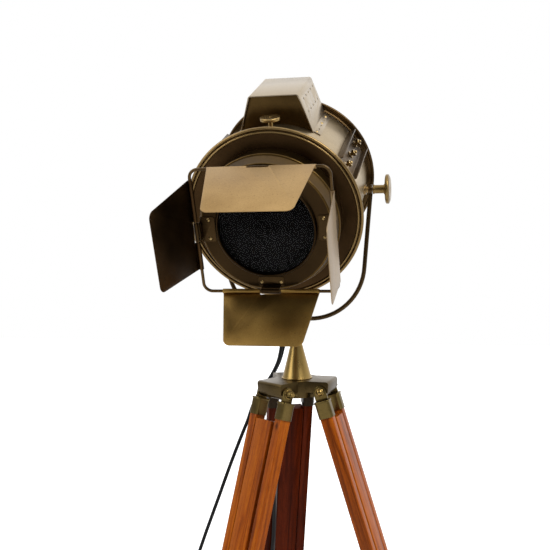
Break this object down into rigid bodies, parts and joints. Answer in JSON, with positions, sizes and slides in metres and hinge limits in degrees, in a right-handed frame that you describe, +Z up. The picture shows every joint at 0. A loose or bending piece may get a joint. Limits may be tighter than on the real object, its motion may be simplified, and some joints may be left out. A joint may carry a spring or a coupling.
{
  "type": "tripod spotlight floor lamp",
  "caption": "Studio-style spotlight floor lamp: a vented brass barrel with barn doors in a wire yoke on a folding wooden tripod with sliding lower legs, floor cord and foot switch.",
  "frame": {"origin": "on the floor, in the middle of the lamp's outline without its free cords", "axes": "+Z up, -Y the way the lamp looks, +X to the lamp's left as it looks out, which is the right in the picture"},
  "size_m": [0.7324, 0.7688, 1.5118],
  "materials": {
    "brass_antique": "aged lacquered brass, brushed and lightly speckled",
    "brass_polished": "polished brass beads and knobs",
    "brass_dark": "dark antique brass, satin",
    "wood_honey": "stained and varnished hardwood, satin",
    "steel": "bare steel, satin",
    "reflector": "spun aluminium, bright",
    "lens": "dark clear glass",
    "mesh": "black fine mesh",
    "bulb": "frosted lamp glass",
    "black_plastic": "black moulded plastic",
    "cord": "black flexible cord"
  },
  "bodies": {
    "stand": {"tripod_head": "brass_polished", "cone": "brass_polished", "pivot_bolts": "brass_polished", "cord_supply": "cord", "cord_coil": "cord", "plug": "black_plastic", "cord_switch": "cord", "foot_switch": "black_plastic"},
    "button": {"foot_button": "black_plastic"},
    "yoke_body": {"yoke": "brass_antique", "spindle": "steel", "lock_nut": "steel"},
    "head": {"barrel_shell": "brass_antique", "front_hoop": "brass_polished", "face_ring": "brass_dark", "snout": "brass_antique", "lens_glass": "lens", "mesh_screen": "mesh", "back_hoop": "brass_polished", "back_cover": "brass_antique", "chimney_shell": "brass_antique", "chimney_panels": "brass_dark", "head_screws": "brass_polished", "side_brackets": "brass_antique", "tilt_bosses": "brass_antique", "reflector": "reflector", "lamp_holder": "black_plastic", "bulb": "bulb", "glands": "black_plastic", "inner_lead": "cord", "door_frame": "brass_antique", "door_holders": "brass_antique"},
    "door_top": {"door_top": "brass_antique"},
    "door_right": {"door_right": "brass_antique"},
    "door_bottom": {"door_bottom": "brass_antique"},
    "door_left": {"door_left": "brass_antique"},
    "top_knob": {"top_knob": "brass_polished"},
    "tilt_knob_right": {"tilt_knob_right": "brass_polished"},
    "tilt_knob_left": {"tilt_knob_left": "brass_polished"},
    "leg1": {"leg1_rails": "wood_honey", "leg1_caps": "brass_polished", "leg1_clamp": "brass_polished"},
    "leg1_slider": {"leg1_lower": "wood_honey", "leg1_foot": "brass_polished"},
    "leg1_clamp_knob": {"leg1_clamp_knob": "brass_polished"},
    "leg1_wing": {"leg1_wing": "brass_polished"},
    "leg2": {"leg2_rails": "wood_honey", "leg2_caps": "brass_polished", "leg2_clamp": "brass_polished"},
    "leg2_slider": {"leg2_lower": "wood_honey", "leg2_foot": "brass_polished"},
    "leg2_clamp_knob": {"leg2_clamp_knob": "brass_polished"},
    "leg2_wing": {"leg2_wing": "brass_polished"},
    "leg3": {"leg3_rails": "wood_honey", "leg3_caps": "brass_polished", "leg3_clamp": "brass_polished"},
    "leg3_slider": {"leg3_lower": "wood_honey", "leg3_foot": "brass_polished"},
    "leg3_clamp_knob": {"leg3_clamp_knob": "brass_polished"},
    "leg3_wing": {"leg3_wing": "brass_polished"}
  },
  "joints": [
    {"name": "pan", "type": "hinge", "parent": "stand", "child": "yoke_body", "pos_m": [-0.06185, 0.02017, 1.05], "axis": [0, 0, 1], "range_deg": [-170, 170], "deforming": ["cord_supply", "cord_switch"]},
    {"name": "tilt", "type": "hinge", "parent": "yoke_body", "child": "head", "pos_m": [-0.06185, 0.02017, 1.316], "axis": [1, 0, 0], "range_deg": [-54, 14], "deforming": ["cord_supply", "cord_switch"]},
    {"name": "tilt_knob_right_turn", "type": "hinge", "parent": "head", "child": "tilt_knob_right", "pos_m": [0.09815, 0.02017, 1.316], "axis": [1, 0, 0], "range_deg": [0, 180]},
    {"name": "tilt_knob_left_turn", "type": "hinge", "parent": "head", "child": "tilt_knob_left", "pos_m": [-0.22185, 0.02017, 1.316], "axis": [-1, 0, 0], "range_deg": [0, 180]},
    {"name": "top_knob_turn", "type": "hinge", "parent": "head", "child": "top_knob", "pos_m": [-0.06185, -0.16243, 1.42517], "axis": [0, -0.3502, 0.9367], "range_deg": [0, 360]},
    {"name": "door_top_swing", "type": "hinge", "parent": "head", "child": "door_top", "pos_m": [-0.06185, -0.25227, 1.34567], "axis": [-1, 0, 0], "range_deg": [-45, 105]},
    {"name": "door_right_swing", "type": "hinge", "parent": "head", "child": "door_right", "pos_m": [0.04815, -0.2162, 1.24919], "axis": [0, -0.3502, 0.9367], "range_deg": [-12.5, 87.5]},
    {"name": "door_bottom_swing", "type": "hinge", "parent": "head", "child": "door_bottom", "pos_m": [-0.06185, -0.18013, 1.15271], "axis": [1, 0, 0], "range_deg": [-102.5, 62.5]},
    {"name": "door_left_swing", "type": "hinge", "parent": "head", "child": "door_left", "pos_m": [-0.17185, -0.2162, 1.24919], "axis": [0, 0.3502, -0.9367], "range_deg": [-22.5, 77.5]},
    {"name": "foot_button_press", "type": "slide", "parent": "stand", "child": "button", "axis": [0, 0, -1], "range_m": [0, 0.003], "stiffness_N_per_m": 600, "springref_m": -0.002},
    {"name": "leg1_fold", "type": "hinge", "parent": "stand", "child": "leg1", "pos_m": [-0.09317, -0.02246, 0.9577], "axis": [0.8059, -0.592, 0], "range_deg": [0, 17], "deforming": ["cord_supply", "cord_switch"]},
    {"name": "leg1_slide", "type": "slide", "parent": "leg1", "child": "leg1_slider", "axis": [-0.1731, -0.2356, -0.9563], "range_m": [0, 0.35], "deforming": ["cord_supply", "cord_switch"]},
    {"name": "leg1_clamp_turn", "type": "hinge", "parent": "leg1", "child": "leg1_clamp_knob", "pos_m": [-0.26136, -0.24552, 0.11244], "axis": [-0.5661, -0.7707, 0.2924], "range_deg": [0, 180]},
    {"name": "leg1_wing_turn", "type": "hinge", "parent": "stand", "child": "leg1_wing", "pos_m": [-0.05932, -0.04733, 0.9577], "axis": [0.8059, -0.592, 0], "range_deg": [0, 180]},
    {"name": "leg2_fold", "type": "hinge", "parent": "stand", "child": "leg2", "pos_m": [-0.00927, 0.01436, 0.9577], "axis": [0.1097, 0.994, 0], "range_deg": [0, 17], "deforming": ["cord_supply", "cord_switch"]},
    {"name": "leg2_slide", "type": "slide", "parent": "leg2", "child": "leg2_slider", "axis": [0.2906, -0.0321, -0.9563], "range_m": [0, 0.35], "deforming": ["cord_supply", "cord_switch"]},
    {"name": "leg2_clamp_turn", "type": "hinge", "parent": "leg2", "child": "leg2_clamp_knob", "pos_m": [0.26876, -0.01281, 0.11244], "axis": [0.9505, -0.1049, 0.2924], "range_deg": [0, 180]},
    {"name": "leg2_wing_turn", "type": "hinge", "parent": "stand", "child": "leg2_wing", "pos_m": [-0.00466, 0.05611, 0.9577], "axis": [0.1097, 0.994, 0], "range_deg": [0, 180]},
    {"name": "leg3_fold", "type": "hinge", "parent": "stand", "child": "leg3", "pos_m": [-0.08311, 0.06861, 0.9577], "axis": [-0.9157, -0.4019, 0], "range_deg": [0, 17], "deforming": ["cord_supply", "cord_switch"]},
    {"name": "leg3_slide", "type": "slide", "parent": "leg3", "child": "leg3_slider", "axis": [-0.1175, 0.2677, -0.9563], "range_m": [0, 0.35], "deforming": ["cord_supply", "cord_switch"]},
    {"name": "leg3_clamp_turn", "type": "hinge", "parent": "leg3", "child": "leg3_clamp_knob", "pos_m": [-0.19219, 0.32579, 0.11244], "axis": [-0.3844, 0.8757, 0.2924], "range_deg": [0, 180]},
    {"name": "leg3_wing_turn", "type": "hinge", "parent": "stand", "child": "leg3_wing", "pos_m": [-0.12157, 0.05173, 0.9577], "axis": [-0.9157, -0.4019, 0], "range_deg": [0, 180]}
  ]
}
